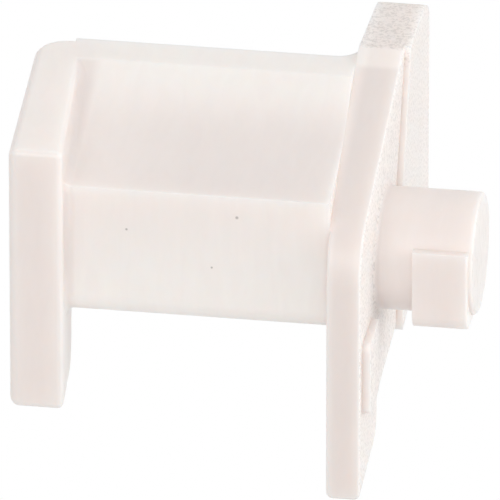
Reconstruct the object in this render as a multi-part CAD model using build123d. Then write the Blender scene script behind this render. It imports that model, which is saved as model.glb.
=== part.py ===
from build123d import *
import math
import os

# Shelf clip, moulded in one piece: a cradle between two flanges, with a peg for a drilled panel.
#
# Frame: +X along the peg into the panel, +Y to the back, +Z up, origin on the peg's axis at the
# plane where the clip bears on the panel. All sizes in millimetres.

# Peg
PEG_DIAMETER = 6.35
PEG_LENGTH = 4.65
PEG_ROOT_RADIUS = 0.35
PEG_END_RADIUS = 0.25
NECK_LENGTH = 1.55
LIP_PROUD = 0.15
LIP_SHOULDER_HEIGHT = 1.45
LIP_CORNER_RADIUS = 1.2
LIP_EDGE_RADIUS = 0.12

# Panel-side flange
PLATE_THICKNESS = 1.75
PLATE_STEP = 0.55
PLATE_FRONT_Y = -7.2
PLATE_BACK_Y = 13.8
PLATE_TIP_Z = -11.05
PLATE_FRONT_CORNER_Z = 3.4
PLATE_FRONT_RADIUS = 3.1
PLATE_TOP_Z = 8.15
RAMP_END_Y = 6.45
BACK_TOP_RADIUS = 2.7
BACK_BOTTOM_RADIUS = 1.2
BACK_BOTTOM_Z = -5.4
LEG_WIDTH = 5.6
LEG_NOTCH_Z = -7.8
LEG_NOTCH_RADIUS = 0.3
LEG_TOE_RISE = 1.2
LEG_TOE_RADIUS = 1.4
LEG_TIP_RADIUS = 0.35
PLATE_INNER_DRAFT = 1.6
PLATE_OUTER_DRAFT = 1.0
BLOCK_INNER_TAPER = 0.25
BLOCK_BACK_EDGE_RADIUS = 0.5

# Thick back part of the panel-side flange
BLOCK_FRONT_TOP_Y = 6.75
BLOCK_FRONT_LOW_Y = 4.2
BLOCK_FRONT_LOW_Z = 1.65

# Pad on the leg's outer face
PAD_PROUD = 0.45
PAD_FRONT_GAP = 0.55
PAD_WIDTH = 3.4
PAD_LOW_Z = -6.4
PAD_HIGH_Z = -2.3
PAD_CORNER_RADIUS = 0.5

# Free flange
FLANGE_THICKNESS = 2.8
FLANGE_BOTTOM_Z = -7.0
FLANGE_LEG_WIDTH = 5.5
FLANGE_LEG_NOTCH_Z = -4.0
FLANGE_LEG_NOTCH_RADIUS = 0.8
FLANGE_OUTER_DRAFT = 2.6
FLANGE_INNER_DRAFT = 4.7
FLANGE_WEB_DROP = 1.2
FLANGE_TOE_RADIUS = 1.6
FLANGE_BACK_RADIUS = 1.6
FLANGE_EDGE_RADIUS = 0.5
FLANGE_INNER_EDGE_RADIUS = 0.3

# Cradle body
GAP = 13.6
BODY_RECESS = 1.3
BODY_BACK_Y = 6.05
BODY_BOTTOM_Z = -2.2
BODY_CREASE_Z = 5.25
BODY_NOSE_RADIUS = 1.3
RIM_Z = 7.7
RIM_DEPTH = 2.2
SADDLE_SAG = 0.75
BODY_OVERLAP = 1.4
FLANGE_ROOT_RADIUS = 0.45
BLOCK_ROOT_RADIUS = 1.2
PLATE_FRONT_EDGE_RADIUS = 0.15

# How deep the peg and pad are buried in the flange they stand on
ROOT_OVERLAP = 0.5

# How far a cutting shape runs past the clip
CUT_MARGIN = 2.0

# Lowest part of the rim's height that counts as its end
RIM_END_HEIGHT = 1.0

# Width of the band in which an edge counts as lying on a face
FACE_TOLERANCE = 0.06

# Derived sizes
PEG_RADIUS = PEG_DIAMETER / 2
PLATE_OUTER_X = -PLATE_STEP
PLATE_INNER_X = PLATE_OUTER_X - PLATE_THICKNESS
FLANGE_INNER_X = PLATE_INNER_X - GAP
FLANGE_OUTER_X = FLANGE_INNER_X - FLANGE_THICKNESS
BODY_FRONT_Y = PLATE_FRONT_Y + BODY_RECESS
RIM_FRONT_Y = BODY_BACK_Y - RIM_DEPTH


def rounded_face(corners):
    """Closed flat face through (a, b, corner radius) points."""
    face = make_face(Polyline(*[(a, b) for a, b, radius in corners], close=True))
    for a, b, radius in corners:
        if radius > 0:
            corner = face.vertices().sort_by_distance((a, b, 0))[0]
            face = fillet(corner, radius)
    return face


def side_prism(corners, x_low, x_high):
    """Solid with a side-view (Y, Z) outline, between two X planes."""
    return extrude(Plane.YZ.offset(x_low) * rounded_face(corners), x_high - x_low)


def plan_prism(corners, z_low, z_high):
    """Solid with a plan-view (X, Y) outline, between two Z planes."""
    return extrude(Plane.XY.offset(z_low) * rounded_face(corners), z_high - z_low)


def drafted(angle, depth):
    """Sideways shift of a drafted face over a depth."""
    return depth * math.tan(math.radians(angle))


def plate_outline():
    """Side-view outline of the panel-side flange."""
    leg_back_y = PLATE_FRONT_Y + LEG_WIDTH
    return [
        (PLATE_FRONT_Y, PLATE_TIP_Z, 0),
        (leg_back_y, PLATE_TIP_Z + LEG_TOE_RISE, LEG_TOE_RADIUS),
        (leg_back_y, LEG_NOTCH_Z, LEG_NOTCH_RADIUS),
        (PLATE_BACK_Y, BACK_BOTTOM_Z, BACK_BOTTOM_RADIUS),
        (PLATE_BACK_Y, PLATE_TOP_Z, BACK_TOP_RADIUS),
        (RAMP_END_Y, PLATE_TOP_Z, 0),
        (PLATE_FRONT_Y, PLATE_FRONT_CORNER_Z, PLATE_FRONT_RADIUS),
    ]


def plate_plan(outer_x, outer_back_x):
    """Plan-view outline of the panel-side flange, widest where the mould parts."""
    web = BODY_BACK_Y - PLATE_FRONT_Y
    inner_mid_x = PLATE_INNER_X - drafted(PLATE_INNER_DRAFT, web)
    return [
        (PLATE_INNER_X, PLATE_FRONT_Y, 0),
        (outer_x, PLATE_FRONT_Y, 0),
        (outer_back_x, PLATE_BACK_Y, BLOCK_BACK_EDGE_RADIUS),
        (inner_mid_x + BLOCK_INNER_TAPER, PLATE_BACK_Y, BLOCK_BACK_EDGE_RADIUS),
        (inner_mid_x, BODY_BACK_Y, 0),
    ]


def thin_plate():
    """Panel-side flange at its web thickness, thicker towards the back."""
    outer_back_x = PLATE_OUTER_X + drafted(PLATE_OUTER_DRAFT, PLATE_BACK_Y - PLATE_FRONT_Y)
    side = side_prism(plate_outline(), PLATE_INNER_X - CUT_MARGIN, CUT_MARGIN)
    outline = plate_plan(PLATE_OUTER_X, outer_back_x)
    plan = plan_prism(outline, PLATE_TIP_Z - CUT_MARGIN, PLATE_TOP_Z + CUT_MARGIN)
    return side & plan


def thick_block():
    """Back part of the panel-side flange, stepped out to the bearing plane."""
    outline = [
        (BLOCK_FRONT_LOW_Y, BACK_BOTTOM_Z - 2 * CUT_MARGIN, 0),
        (PLATE_BACK_Y, BACK_BOTTOM_Z - 2 * CUT_MARGIN, 0),
        (PLATE_BACK_Y, PLATE_TOP_Z, 0),
        (BLOCK_FRONT_TOP_Y, PLATE_TOP_Z, 0),
        (BLOCK_FRONT_LOW_Y, BLOCK_FRONT_LOW_Z, 0),
    ]
    cut = side_prism(outline, PLATE_INNER_X - CUT_MARGIN, 0)
    side = side_prism(plate_outline(), PLATE_INNER_X - CUT_MARGIN, CUT_MARGIN)
    plan = plan_prism(plate_plan(0, 0), PLATE_TIP_Z - CUT_MARGIN, PLATE_TOP_Z + CUT_MARGIN)
    return side & cut & plan


def leg_pad():
    """Low pad on the outer face of the front leg."""
    front_y = PLATE_FRONT_Y + PAD_FRONT_GAP
    return side_prism(
        [
            (front_y, PAD_LOW_Z, PAD_CORNER_RADIUS),
            (front_y + PAD_WIDTH, PAD_LOW_Z, PAD_CORNER_RADIUS),
            (front_y + PAD_WIDTH, PAD_HIGH_Z, PAD_CORNER_RADIUS),
            (front_y, PAD_HIGH_Z, PAD_CORNER_RADIUS),
        ],
        PLATE_OUTER_X - ROOT_OVERLAP,
        PLATE_OUTER_X + PAD_PROUD,
    )


def peg():
    """Round peg whose lip squares off the front lower quarter behind the neck."""
    root_x = PLATE_OUTER_X - ROOT_OVERLAP
    shank = extrude(Plane.YZ.offset(root_x) * Circle(PEG_RADIUS), PEG_LENGTH - root_x)
    shank = fillet(shank.edges().sort_by(Axis.X)[-1], PEG_END_RADIUS)
    front_y = -PEG_RADIUS - LIP_PROUD
    lip = side_prism(
        [
            (front_y, -PEG_RADIUS, LIP_CORNER_RADIUS),
            (0, -PEG_RADIUS, 0),
            (0, LIP_SHOULDER_HEIGHT, 0),
            (front_y, LIP_SHOULDER_HEIGHT, 0),
        ],
        NECK_LENGTH,
        PEG_LENGTH - PEG_END_RADIUS,
    )
    outer = [edge for edge in lip.edges().group_by(Axis.X)[-1] if edge.center().Y < front_y / 2]
    lip = fillet(outer, LIP_EDGE_RADIUS)
    return shank + lip


def cradle():
    """Body between the flanges, with a hollowed seat and a raised back rim."""
    nose = BODY_NOSE_RADIUS
    front = (BODY_FRONT_Y, BODY_CREASE_Z)
    rim = (RIM_FRONT_Y, RIM_Z)
    middle = ((front[0] + rim[0]) / 2, (front[1] + rim[1]) / 2 - SADDLE_SAG)
    front_low = (BODY_FRONT_Y, BODY_BOTTOM_Z + nose)
    under_front = (BODY_FRONT_Y + nose, BODY_BOTTOM_Z)
    back_low = (BODY_BACK_Y, BODY_BOTTOM_Z)
    outline = [
        Line(front, front_low),
        RadiusArc(front_low, under_front, -nose),
        Line(under_front, back_low),
        Line(back_low, (BODY_BACK_Y, RIM_Z)),
        Line((BODY_BACK_Y, RIM_Z), rim),
        ThreePointArc(rim, middle, front),
    ]
    face = make_face(Curve() + outline)
    length = GAP + 2 * BODY_OVERLAP
    return extrude(Plane.YZ.offset(FLANGE_INNER_X - BODY_OVERLAP) * face, length)


def flange():
    """Free flange, toed out towards the back."""
    leg_back_y = PLATE_FRONT_Y + FLANGE_LEG_WIDTH
    side = side_prism(
        [
            (PLATE_FRONT_Y, FLANGE_BOTTOM_Z, 0),
            (leg_back_y, FLANGE_BOTTOM_Z, FLANGE_TOE_RADIUS),
            (leg_back_y, FLANGE_LEG_NOTCH_Z, FLANGE_LEG_NOTCH_RADIUS),
            (BODY_BACK_Y, BODY_BOTTOM_Z - FLANGE_WEB_DROP, 0),
            (BODY_BACK_Y, RIM_Z, 0),
            (PLATE_FRONT_Y, RIM_Z, 0),
        ],
        FLANGE_OUTER_X - CUT_MARGIN,
        FLANGE_INNER_X + CUT_MARGIN / 2,
    )
    depth = BODY_BACK_Y - PLATE_FRONT_Y
    plan = plan_prism(
        [
            (FLANGE_INNER_X, PLATE_FRONT_Y, FLANGE_INNER_EDGE_RADIUS),
            (FLANGE_OUTER_X, PLATE_FRONT_Y, 0),
            (FLANGE_OUTER_X - drafted(FLANGE_OUTER_DRAFT, depth), BODY_BACK_Y, 0),
            (FLANGE_INNER_X - drafted(FLANGE_INNER_DRAFT, depth), BODY_BACK_Y, 0),
        ],
        PLATE_TIP_Z - CUT_MARGIN,
        PLATE_TOP_Z + CUT_MARGIN,
    )
    return side & plan


def trimmed_cradle():
    """Cradle cut to the panel-side flange's drafted inner face."""
    back_x = PLATE_INNER_X - drafted(PLATE_INNER_DRAFT, BODY_BACK_Y - PLATE_FRONT_Y)
    keep = plan_prism(
        [
            (FLANGE_INNER_X - BODY_OVERLAP, PLATE_FRONT_Y, 0),
            (PLATE_INNER_X, PLATE_FRONT_Y, 0),
            (back_x, BODY_BACK_Y, 0),
            (FLANGE_INNER_X - BODY_OVERLAP, BODY_BACK_Y, 0),
        ],
        BODY_BOTTOM_Z - CUT_MARGIN,
        PLATE_TOP_Z + CUT_MARGIN,
    )
    return cradle() & keep


def rounded_flange():
    """Free flange with its back corner and its whole outer edge rounded."""
    solid = flange()
    outer_face = solid.faces().sort_by(Axis.X)[0]
    back_corner = outer_face.edges().sort_by(Axis.Y)[-1]
    solid = fillet(back_corner, FLANGE_BACK_RADIUS)
    outer_face = solid.faces().filter_by(GeomType.PLANE).sort_by(Axis.X)[0]
    solid = fillet(outer_face.edges(), FLANGE_EDGE_RADIUS)
    bottom_face = solid.faces().filter_by(Axis.Z).sort_by(Axis.Z)[0]
    return fillet(bottom_face.edges().sort_by(Axis.X)[-1], FLANGE_INNER_EDGE_RADIUS)


def rooted_peg(solid):
    """Clip with the peg added and its root rounded into the flange."""
    joined = solid + peg()
    roots = [
        edge
        for edge in joined.edges()
        if edge.geom_type != GeomType.LINE
        and abs(edge.center().X - PLATE_OUTER_X) < PLATE_THICKNESS / 4
        and abs(edge.length - math.pi * PEG_DIAMETER) < PEG_RADIUS
    ]
    return fillet(roots, PEG_ROOT_RADIUS)


def drafted_face_x(inner_x, draft, y):
    """X of a flange's drafted face at a depth."""
    return inner_x - drafted(draft, y - PLATE_FRONT_Y)


def on_drafted_face(edge, inner_x, draft):
    """Whether an edge lies on a flange's drafted inner face."""
    centre = edge.center()
    return abs(centre.X - drafted_face_x(inner_x, draft, centre.Y)) < FACE_TOLERANCE


def flange_root_edges(solid):
    """Seat, front and underside edges where the cradle meets the free flange."""
    on_face = [e for e in solid.edges() if on_drafted_face(e, FLANGE_INNER_X, FLANGE_INNER_DRAFT)]
    front = [e for e in on_face if abs(e.center().Y - BODY_FRONT_Y) < FACE_TOLERANCE]
    under_low = BODY_BOTTOM_Z - FACE_TOLERANCE
    under_high = BODY_BOTTOM_Z + BODY_NOSE_RADIUS
    under = [e for e in on_face if under_low < e.center().Z < under_high]
    curved = [e for e in on_face if e.geom_type != GeomType.LINE]
    seat = [e for e in curved if BODY_CREASE_Z < e.center().Z < RIM_Z - RIM_END_HEIGHT]
    return front + under + seat


def back_root_edge(solid):
    """Upright edge where the cradle's flat back meets the thick block."""
    return [
        edge
        for edge in solid.edges().filter_by(Axis.Z)
        if on_drafted_face(edge, PLATE_INNER_X, PLATE_INNER_DRAFT)
        and abs(edge.center().Y - BODY_BACK_Y) < FACE_TOLERANCE
        and BODY_BOTTOM_Z < edge.center().Z < RIM_Z - RIM_END_HEIGHT
    ]


def leg_tip_edges(solid):
    """Two long edges under the panel-side leg."""
    low_z = PLATE_TIP_Z + LEG_TOE_RISE
    low = [e for e in solid.edges().filter_by(GeomType.LINE) if e.center().Z < low_z]
    return [e for e in low if e.length > LEG_WIDTH / 2]


def plate_front_edges(solid):
    """Two upright front edges of the panel-side flange."""
    return [
        edge
        for edge in solid.edges().filter_by(Axis.Z)
        if abs(edge.center().Y - PLATE_FRONT_Y) < FACE_TOLERANCE
        and edge.center().X > PLATE_INNER_X - FACE_TOLERANCE
        and edge.length > LEG_WIDTH
    ]


def clip():
    """The whole clip as one solid."""
    solid = trimmed_cradle() + rounded_flange() + thin_plate() + thick_block()
    solid = fillet(flange_root_edges(solid), FLANGE_ROOT_RADIUS)
    solid = fillet(back_root_edge(solid), BLOCK_ROOT_RADIUS)
    solid = fillet(leg_tip_edges(solid), LEG_TIP_RADIUS)
    solid = fillet(plate_front_edges(solid), PLATE_FRONT_EDGE_RADIUS)
    return rooted_peg(solid + leg_pad())


os.makedirs("parts", exist_ok=True)
shelf_clip = clip()
export_step(shelf_clip, "parts/shelf_clip.step")
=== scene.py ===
"""Finish and studio for a moulded nylon shelf clip, laid out as an add-on and run as a script.

Everything is in metres in the clip's own frame: +X along the peg, +Y to the back, +Z up.
"""

import math

import bmesh
import bpy
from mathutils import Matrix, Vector


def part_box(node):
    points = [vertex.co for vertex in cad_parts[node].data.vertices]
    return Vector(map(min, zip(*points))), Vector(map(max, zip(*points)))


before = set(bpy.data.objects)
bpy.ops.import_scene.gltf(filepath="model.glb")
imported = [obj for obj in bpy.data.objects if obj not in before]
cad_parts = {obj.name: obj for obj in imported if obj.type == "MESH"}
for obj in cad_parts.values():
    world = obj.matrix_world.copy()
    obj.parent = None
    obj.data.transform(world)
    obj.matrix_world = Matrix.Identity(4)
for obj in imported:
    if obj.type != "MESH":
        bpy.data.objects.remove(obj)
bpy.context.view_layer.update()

bl_info = {
    "name": "Moulded shelf clip",
    "version": (1, 0, 0),
    "blender": (4, 5, 0),
    "location": "View3D > Sidebar > Shelf Clip",
    "description": "Gives a moulded nylon shelf clip its finish and sets up a pale studio",
    "category": "Object",
}

MM = 0.001
CLIP = "shelf_clip"
CLIP_LOW, CLIP_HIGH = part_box(CLIP)
PEG_END_X = CLIP_HIGH.x
TOP_Z = CLIP_HIGH.z
CRADLE_LOW_X = CLIP_LOW.x + 3.3 * MM
CRADLE_HIGH_X = PEG_END_X - 6.95 * MM

# Where the sparked faces lie
OUTER_FACE_X = (-0.8 * MM, -0.65 * MM)
BEARING_FACE_X = (0.35 * MM, 0.15 * MM)
BLOCK_TOP_Y = (6.3 * MM, 6.5 * MM)
PEG_FACE_X = (PEG_END_X - 0.2 * MM, PEG_END_X - 0.1 * MM)

# Sizes of the patterns in the nylon
CLOUD_SIZE = 5.5 * MM
FLOW_SIZE = 2.2 * MM
RIPPLE_SIZE = 1.1 * MM
STREAK_SIZE = 0.9 * MM

# Heights of the patterns
RIPPLE_HEIGHT = 0.012 * MM
FLOW_HEIGHT = 0.01 * MM
STREAK_HEIGHT = 0.08 * MM

# How strongly each mark, and each painted shade, darkens the nylon
FLOW_MARK = 0.04
PANEL_SIDE_SHADE = 0.12
STREAK_MARK = 0.35
PIT_SHADE = 0.36
INCLUSION_MARK = 0.8

# Extra roughness of the sparked faces
SPARKED_ROUGHNESS = 0.22

# Small dark inclusions in the cradle's front: X, height and radius
INCLUSIONS = (
    (-12.8 * MM, 3.0 * MM, 0.055 * MM),
    (-8.4 * MM, 1.15 * MM, 0.05 * MM),
    (-7.1 * MM, 4.1 * MM, 0.07 * MM),
)

# Studio
FLOOR_HALF_WIDTH = 1.5
LAMP_SIZE = 0.3
SIDE_LAMP_DIRECTION = (1.0, -0.05, 0.35)
SIDE_LAMP_DISTANCE = 0.4
FRONT_LAMP_DIRECTION = (-0.1, -1.0, 0.5)
FRONT_LAMP_DISTANCE = 0.45


class ShelfClipFinish(bpy.types.PropertyGroup):
    """Colours, painted shade and textures of the moulded nylon."""

    tint: bpy.props.FloatVectorProperty(
        name="Nylon tint",
        description="Colour of the natural nylon in plain light",
        subtype="COLOR",
        size=3,
        min=0.0,
        max=1.0,
        default=(0.95, 0.885, 0.85),
    )
    cool_tint: bpy.props.FloatVectorProperty(
        name="Cool cloud tint",
        description="Colour of the faint cooler clouds inside the nylon",
        subtype="COLOR",
        size=3,
        min=0.0,
        max=1.0,
        default=(0.935, 0.88, 0.845),
    )
    # Painted shade: this colour is blended onto the flanges, back faces and lower seat to darken
    # them. It is not a colour the nylon has.
    painted_shade_tint: bpy.props.FloatVectorProperty(
        name="Deep tint",
        description="Colour of the nylon where it is thick and lets less light through",
        subtype="COLOR",
        size=3,
        min=0.0,
        max=1.0,
        default=(0.85, 0.785, 0.755),
    )
    # Colour of the real inclusions, flow marks and peg streaks, and also of the painted shade on
    # the plate's side faces and in the grain pits.
    speck_and_shade_tint: bpy.props.FloatVectorProperty(
        name="Speck tint",
        description="Colour of the dark inclusions and grain pits",
        subtype="COLOR",
        size=3,
        min=0.0,
        max=1.0,
        default=(0.46, 0.42, 0.40),
    )
    glow_depth: bpy.props.FloatProperty(
        name="Glow depth",
        description="How far light travels inside the milky nylon",
        subtype="DISTANCE",
        unit="LENGTH",
        default=1.3 * MM,
    )
    grain_size: bpy.props.FloatProperty(
        name="Grain size",
        description="Width of one grain of the sparked mould texture",
        subtype="DISTANCE",
        unit="LENGTH",
        default=0.11 * MM,
    )
    grain_height: bpy.props.FloatProperty(
        name="Grain height",
        description="Height of the sparked mould texture",
        subtype="DISTANCE",
        unit="LENGTH",
        default=0.035 * MM,
    )
    polish: bpy.props.FloatProperty(
        name="Polished roughness",
        description="Roughness of the smooth moulded faces",
        subtype="FACTOR",
        min=0.0,
        max=1.0,
        default=0.34,
    )


class ShelfClipStage(bpy.types.PropertyGroup):
    """Camera, floor and lamps around the clip."""

    azimuth: bpy.props.FloatProperty(
        name="View azimuth",
        description="Turn of the camera round the clip, from straight in front",
        subtype="ANGLE",
        unit="ROTATION",
        default=math.radians(8.8),
    )
    elevation: bpy.props.FloatProperty(
        name="View elevation",
        description="Height of the camera above the horizon",
        subtype="ANGLE",
        unit="ROTATION",
        default=math.radians(27.0),
    )
    distance: bpy.props.FloatProperty(
        name="View distance",
        description="Distance from the camera to the clip",
        subtype="DISTANCE",
        unit="LENGTH",
        default=0.9,
    )
    view_width: bpy.props.FloatProperty(
        name="View width",
        description="Width of the picture at the clip",
        subtype="DISTANCE",
        unit="LENGTH",
        default=25.64 * MM,
    )
    aim: bpy.props.FloatVectorProperty(
        name="Aim point",
        description="Point inside the clip that the camera looks at",
        subtype="TRANSLATION",
        unit="LENGTH",
        size=3,
        default=(-7.155 * MM, -1.173 * MM, -0.126 * MM),
    )
    floor_drop: bpy.props.FloatProperty(
        name="Floor drop",
        description="Gap from the clip's lowest point to the floor, as it hangs from its peg",
        subtype="DISTANCE",
        unit="LENGTH",
        default=30 * MM,
    )
    sky_strength: bpy.props.FloatProperty(
        name="Sky strength",
        description="Strength of the even studio light",
        min=0.0,
        default=0.72,
    )
    side_power: bpy.props.FloatProperty(
        name="Side lamp power",
        description="Power of the soft lamp on the peg side",
        subtype="POWER",
        unit="POWER",
        default=0.58,
    )
    front_power: bpy.props.FloatProperty(
        name="Front lamp power",
        description="Power of the soft lamp high in front",
        subtype="POWER",
        unit="POWER",
        default=0.48,
    )


class NodeSheet:
    """Adds and wires the nodes of one node tree."""

    def __init__(self, tree):
        self.tree = tree
        self.tree.nodes.clear()

    def add(self, kind, **settings):
        """New node with its settings."""
        node = self.tree.nodes.new(kind)
        for name, value in settings.items():
            setattr(node, name, value)
        return node

    def feed(self, socket, value):
        """Sets a socket to a value, or wires it to an output."""
        if isinstance(value, bpy.types.NodeSocket):
            self.tree.links.new(value, socket)
        else:
            socket.default_value = value

    def math(self, operation, a, b=0.0):
        """Output of a math node."""
        node = self.add("ShaderNodeMath", operation=operation)
        self.feed(node.inputs[0], a)
        self.feed(node.inputs[1], b)
        return node.outputs[0]

    def step(self, value, low, high):
        """Smooth 0 to 1 rise of a value between two limits."""
        node = self.add("ShaderNodeMapRange", interpolation_type="SMOOTHSTEP")
        self.feed(node.inputs["Value"], value)
        node.inputs["From Min"].default_value = low
        node.inputs["From Max"].default_value = high
        return node.outputs["Result"]

    def spread(self, value, low, high, to_low, to_high):
        """Linear map of a value from one range to another."""
        node = self.add("ShaderNodeMapRange")
        self.feed(node.inputs["Value"], value)
        node.inputs["From Min"].default_value = low
        node.inputs["From Max"].default_value = high
        node.inputs["To Min"].default_value = to_low
        node.inputs["To Max"].default_value = to_high
        return node.outputs["Result"]

    def both(self, *masks):
        """Product of masks."""
        result = masks[0]
        for mask in masks[1:]:
            result = self.math("MULTIPLY", result, mask)
        return result

    def either(self, a, b):
        """Larger of two masks."""
        return self.math("MAXIMUM", a, b)

    def noise(self, vector, size, detail=2.0, roughness=0.5, distortion=0.0):
        """Noise whose lumps are about size across."""
        node = self.add("ShaderNodeTexNoise")
        self.feed(node.inputs["Vector"], vector)
        node.inputs["Scale"].default_value = 1.0 / size
        node.inputs["Detail"].default_value = detail
        node.inputs["Roughness"].default_value = roughness
        node.inputs["Distortion"].default_value = distortion
        return node.outputs["Fac"]

    def stretched(self, vector, scale):
        """Coordinates with each axis scaled."""
        node = self.add("ShaderNodeMapping", vector_type="POINT")
        self.feed(node.inputs["Vector"], vector)
        node.inputs["Scale"].default_value = scale
        return node.outputs["Vector"]

    def blend(self, mask, a, b):
        """Colour a to colour b by a mask."""
        node = self.add("ShaderNodeMix", data_type="RGBA")
        self.feed(node.inputs[0], mask)
        self.feed(node.inputs[6], a)
        self.feed(node.inputs[7], b)
        return node.outputs[2]


def painted_shade_mask(sheet, place, normal):
    """Painted shade mask: both flanges away from the side lamp, faces to the back, and the seat
    towards its front, all darkened by the painted shade tint.
    """
    x, y, z = place
    nx, ny, nz = normal
    in_cradle = sheet.both(
        sheet.step(x, CRADLE_LOW_X - 0.3 * MM, CRADLE_LOW_X + 0.5 * MM),
        sheet.step(x, CRADLE_HIGH_X + 0.2 * MM, CRADLE_HIGH_X - 0.5 * MM),
    )
    in_flange = sheet.math("SUBTRACT", 1.0, in_cradle)
    above_seat = sheet.both(
        sheet.step(x, CRADLE_LOW_X + 0.5 * MM, CRADLE_LOW_X), sheet.step(z, -1.0 * MM, 1.0 * MM)
    )
    # Flange faces turned away from the side lamp get painted shade.
    away_from_side = sheet.either(sheet.step(nx, 0.8, 0.4), above_seat)
    below_top = sheet.step(z, TOP_Z - 0.4 * MM, TOP_Z - 0.55 * MM)
    faces_up = sheet.step(nz, 0.3, 0.7)
    from_flange = sheet.spread(x, CRADLE_LOW_X, CRADLE_LOW_X + 6 * MM, 0.55, 1.0)
    low_seat = sheet.step(z, TOP_Z - 0.9 * MM, TOP_Z - 2.4 * MM)
    seat = sheet.both(in_cradle, faces_up, low_seat, from_flange)
    faces_front = sheet.math("SUBTRACT", 1.0, faces_up)
    under_crease = sheet.spread(z, 0.5 * MM, 5.2 * MM, 0.0, 0.5)
    seat = sheet.either(seat, sheet.both(in_cradle, faces_front, under_crease))
    # Faces to the back get painted shade.
    faces_back = sheet.step(ny, 0.3, 0.7)
    flanges = sheet.both(in_flange, away_from_side, below_top)
    return sheet.either(sheet.either(flanges, seat), faces_back)


def surface_masks(sheet, place, normal):
    """Masks of the sparked outer face, sparked block top and turned peg end."""
    x, y, z = place
    nx, nz = normal
    faces_panel = sheet.step(nx, 0.55, 0.8)
    on_plate = sheet.step(x, *BEARING_FACE_X)
    outside = sheet.step(x, *OUTER_FACE_X)
    outer_face = sheet.both(faces_panel, on_plate, outside)
    faces_up = sheet.step(nz, 0.15, 0.4)
    behind = sheet.step(y, *BLOCK_TOP_Y)
    block_top = sheet.both(faces_up, behind)
    peg_end = sheet.both(faces_panel, sheet.step(x, *PEG_FACE_X))
    return outer_face, block_top, peg_end


def inclusion_mask(sheet, position):
    """Small dark inclusions at a few places in the front of the cradle."""
    front_y = CLIP_LOW.y + 1.3 * MM
    mask = 0.0
    for x, z, radius in INCLUSIONS:
        gap = sheet.add("ShaderNodeVectorMath", operation="DISTANCE")
        sheet.feed(gap.inputs[0], position)
        gap.inputs[1].default_value = (x, front_y, z)
        spot = sheet.step(gap.outputs["Value"], radius * 1.6, radius * 0.6)
        mask = sheet.either(spot, mask)
    return mask


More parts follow.
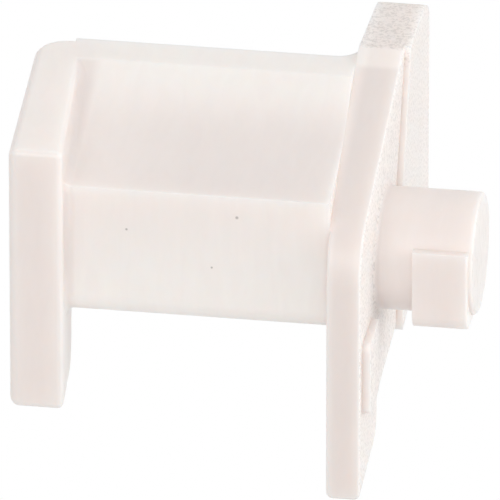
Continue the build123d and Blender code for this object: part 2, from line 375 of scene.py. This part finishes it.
def nylon_material(finish):
    """Milky natural nylon: polished moulded faces, sparked faces and a turned peg end."""
    material = bpy.data.materials.new("natural_nylon")
    material.use_nodes = True
    sheet = NodeSheet(material.node_tree)
    position = sheet.add("ShaderNodeTexCoord").outputs["Object"]
    axes = sheet.add("ShaderNodeSeparateXYZ")
    sheet.feed(axes.inputs[0], position)
    facing = sheet.add("ShaderNodeSeparateXYZ")
    sheet.feed(facing.inputs[0], sheet.add("ShaderNodeNewGeometry").outputs["True Normal"])
    facing_axes = (facing.outputs["X"], facing.outputs["Z"])
    outer_face, block_top, peg_end = surface_masks(sheet, axes.outputs, facing_axes)
    sparked = sheet.either(outer_face, block_top)

    clouds = sheet.noise(sheet.stretched(position, (0.7, 1.0, 1.2)), CLOUD_SIZE, 2.0, 0.55)
    flow = sheet.noise(sheet.stretched(position, (3.0, 1.0, 0.6)), FLOW_SIZE, 3.0, 0.6, 0.6)
    grain = sheet.noise(position, finish.grain_size, 3.0, 0.65)
    pits = sheet.noise(position, finish.grain_size * 1.5, 2.0, 0.6)
    ripple = sheet.noise(position, RIPPLE_SIZE, 2.0, 0.5)
    streaks = sheet.noise(sheet.stretched(position, (1.0, 9.0, 1.0)), STREAK_SIZE, 3.0, 0.7)

    tint = (*finish.tint, 1.0)
    cool = (*finish.cool_tint, 1.0)
    painted_shade_colour = (*finish.painted_shade_tint, 1.0)
    dark = (*finish.speck_and_shade_tint, 1.0)
    colour = sheet.blend(sheet.step(clouds, 0.4, 0.62), tint, cool)
    # Painted shade: flanges, back faces and the lower seat are darkened towards the painted
    # shade colour.
    colour = sheet.blend(painted_shade_mask(sheet, axes.outputs, facing.outputs), colour, painted_shade_colour)
    # Painted shade: faces of the plate and right flange that don't face the side lamp are
    # darkened towards the speck colour.
    panel_side_shade = sheet.both(
        sheet.step(axes.outputs["X"], CRADLE_HIGH_X, CRADLE_HIGH_X + 0.4 * MM),
        sheet.step(axes.outputs["X"], -0.1 * MM, -0.4 * MM),
        sheet.step(facing.outputs["X"], 0.8, 0.4),
    )
    colour = sheet.blend(sheet.math("MULTIPLY", panel_side_shade, PANEL_SIDE_SHADE), colour, dark)
    flow_mark = sheet.spread(flow, 0.35, 0.7, 0.0, FLOW_MARK)
    colour = sheet.blend(flow_mark, colour, dark)
    # Painted shade: small pits in the sparked grain are darkened towards the speck colour, as if
    # in shadow.
    pit_shade_mask = sheet.both(sheet.step(pits, 0.44, 0.66), sparked)
    colour = sheet.blend(sheet.math("MULTIPLY", pit_shade_mask, PIT_SHADE), colour, dark)
    streak_mask = sheet.both(sheet.step(streaks, 0.5, 0.68), peg_end)
    colour = sheet.blend(sheet.math("MULTIPLY", streak_mask, STREAK_MARK), colour, dark)
    inclusions = sheet.math("MULTIPLY", inclusion_mask(sheet, position), INCLUSION_MARK)
    colour = sheet.blend(inclusions, colour, dark)

    rough = sheet.spread(ripple, 0.3, 0.7, finish.polish - 0.05, finish.polish + 0.07)
    rough = sheet.math("ADD", rough, sheet.math("MULTIPLY", sparked, SPARKED_ROUGHNESS))

    height = sheet.math("MULTIPLY", sheet.both(grain, sparked), finish.grain_height)
    ripples = sheet.math("MULTIPLY", ripple, RIPPLE_HEIGHT)
    flow_height = sheet.math("MULTIPLY", flow, FLOW_HEIGHT)
    streak_height = sheet.math("MULTIPLY", sheet.both(streaks, peg_end), STREAK_HEIGHT)
    height = sheet.math("ADD", sheet.math("ADD", height, ripples), flow_height)
    height = sheet.math("ADD", height, streak_height)
    bump = sheet.add("ShaderNodeBump")
    bump.inputs["Strength"].default_value = 1.0
    bump.inputs["Distance"].default_value = 1.0
    sheet.feed(bump.inputs["Height"], height)

    shader = sheet.add("ShaderNodeBsdfPrincipled")
    sheet.feed(shader.inputs["Base Color"], colour)
    sheet.feed(shader.inputs["Roughness"], rough)
    sheet.feed(shader.inputs["Normal"], bump.outputs["Normal"])
    shader.inputs["IOR"].default_value = 1.5
    shader.inputs["Subsurface Weight"].default_value = 0.85
    shader.inputs["Subsurface Radius"].default_value = (1.0, 0.85, 0.75)
    shader.inputs["Subsurface Scale"].default_value = finish.glow_depth
    output = sheet.add("ShaderNodeOutputMaterial")
    sheet.feed(output.inputs["Surface"], shader.outputs["BSDF"])
    return material


def seen_white(sheet, shader, strength):
    """Plain white to the camera, in gloss and through clear things, and the shader elsewhere."""
    path = sheet.add("ShaderNodeLightPath")
    seen = sheet.either(path.outputs["Is Camera Ray"], path.outputs["Is Glossy Ray"])
    seen = sheet.either(seen, path.outputs["Is Transmission Ray"])
    white = sheet.add("ShaderNodeEmission")
    white.inputs["Color"].default_value = (1.0, 1.0, 1.0, 1.0)
    white.inputs["Strength"].default_value = strength
    mix = sheet.add("ShaderNodeMixShader")
    sheet.feed(mix.inputs[0], seen)
    sheet.feed(mix.inputs[1], shader)
    sheet.feed(mix.inputs[2], white.outputs["Emission"])
    return mix.outputs["Shader"]


def pale_floor_material():
    """Pale matt floor that reads as a white ground."""
    material = bpy.data.materials.new("pale_floor")
    material.use_nodes = True
    sheet = NodeSheet(material.node_tree)
    matt = sheet.add("ShaderNodeBsdfDiffuse")
    matt.inputs["Color"].default_value = (0.8, 0.8, 0.8, 1.0)
    output = sheet.add("ShaderNodeOutputMaterial")
    sheet.feed(output.inputs["Surface"], seen_white(sheet, matt.outputs["BSDF"], 1.0))
    return material


def lay_floor(stage):
    """Wide floor under the clip."""
    mesh = bpy.data.meshes.new("studio_floor")
    shape = bmesh.new()
    bmesh.ops.create_grid(shape, x_segments=1, y_segments=1, size=FLOOR_HALF_WIDTH)
    bmesh.ops.translate(shape, verts=shape.verts, vec=(0, 0, CLIP_LOW.z - stage.floor_drop))
    shape.to_mesh(mesh)
    shape.free()
    floor = bpy.data.objects.new("studio_floor", mesh)
    floor.data.materials.append(pale_floor_material())
    bpy.context.scene.collection.objects.link(floor)


def light_sky(stage):
    """Even studio light that the camera sees as white."""
    world = bpy.data.worlds.new("studio_sky")
    world.use_nodes = True
    sheet = NodeSheet(world.node_tree)
    sky = sheet.add("ShaderNodeBackground")
    sky.inputs["Color"].default_value = (1.0, 1.0, 1.0, 1.0)
    sky.inputs["Strength"].default_value = stage.sky_strength
    output = sheet.add("ShaderNodeOutputWorld")
    sheet.feed(output.inputs["Surface"], seen_white(sheet, sky.outputs["Background"], 1.0))
    bpy.context.scene.world = world


def hang_lamp(name, aim, direction, distance, size, power):
    """Soft square lamp that shines at a point from a direction."""
    data = bpy.data.lights.new(name, "AREA")
    data.shape = "SQUARE"
    data.size = size
    data.energy = power
    lamp = bpy.data.objects.new(name, data)
    towards = Vector(direction).normalized()
    lamp.location = aim + towards * distance
    lamp.rotation_euler = towards.to_track_quat("Z", "Y").to_euler()
    bpy.context.scene.collection.objects.link(lamp)


def set_camera(stage):
    """Long lens at the viewing angle, framed on the clip."""
    a, e = stage.azimuth, stage.elevation
    back = Vector((math.sin(a) * math.cos(e), -math.cos(a) * math.cos(e), math.sin(e)))
    aim = Vector(stage.aim)
    data = bpy.data.cameras.new("studio_camera")
    data.sensor_width = 36
    data.lens = data.sensor_width * stage.distance / stage.view_width
    data.clip_start = 0.01
    data.clip_end = 10
    camera = bpy.data.objects.new("studio_camera", data)
    camera.location = aim + back * stage.distance
    camera.rotation_euler = back.to_track_quat("Z", "Y").to_euler()
    bpy.context.scene.collection.objects.link(camera)
    bpy.context.scene.camera = camera


class SHELFCLIP_OT_finish(bpy.types.Operator):
    """Give the clip its milky nylon finish"""

    bl_idname = "shelfclip.finish"
    bl_label = "Finish the clip"

    def execute(self, context):
        material = nylon_material(context.scene.shelf_clip_finish)
        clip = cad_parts[CLIP]
        clip.data.materials.clear()
        clip.data.materials.append(material)
        return {"FINISHED"}


class SHELFCLIP_OT_stage(bpy.types.Operator):
    """Set up the pale studio, its lamps and the camera"""

    bl_idname = "shelfclip.stage"
    bl_label = "Set up the studio"

    def execute(self, context):
        stage = context.scene.shelf_clip_stage
        middle = (CLIP_LOW + CLIP_HIGH) / 2
        lay_floor(stage)
        light_sky(stage)
        side = (SIDE_LAMP_DIRECTION, SIDE_LAMP_DISTANCE, LAMP_SIZE, stage.side_power)
        front = (FRONT_LAMP_DIRECTION, FRONT_LAMP_DISTANCE, LAMP_SIZE, stage.front_power)
        hang_lamp("side_lamp", middle, *side)
        hang_lamp("front_lamp", middle, *front)
        set_camera(stage)
        context.scene.view_settings.view_transform = "Standard"
        return {"FINISHED"}


class SHELFCLIP_PT_panel(bpy.types.Panel):
    """Sidebar panel with the clip's finish and studio"""

    bl_idname = "SHELFCLIP_PT_panel"
    bl_label = "Shelf Clip"
    bl_space_type = "VIEW_3D"
    bl_region_type = "UI"
    bl_category = "Shelf Clip"

    def draw(self, context):
        layout = self.layout
        layout.operator("shelfclip.finish")
        for name in ShelfClipFinish.__annotations__:
            layout.prop(context.scene.shelf_clip_finish, name)
        layout.operator("shelfclip.stage")
        for name in ShelfClipStage.__annotations__:
            layout.prop(context.scene.shelf_clip_stage, name)


CLASSES = (
    ShelfClipFinish,
    ShelfClipStage,
    SHELFCLIP_OT_finish,
    SHELFCLIP_OT_stage,
    SHELFCLIP_PT_panel,
)


def register():
    for kind in CLASSES:
        bpy.utils.register_class(kind)
    bpy.types.Scene.shelf_clip_finish = bpy.props.PointerProperty(type=ShelfClipFinish)
    bpy.types.Scene.shelf_clip_stage = bpy.props.PointerProperty(type=ShelfClipStage)


def unregister():
    del bpy.types.Scene.shelf_clip_stage
    del bpy.types.Scene.shelf_clip_finish
    for kind in reversed(CLASSES):
        bpy.utils.unregister_class(kind)


def main():
    """Builds the look."""
    register()
    bpy.ops.shelfclip.finish()
    bpy.ops.shelfclip.stage()


if __name__ == "__main__":
    main()
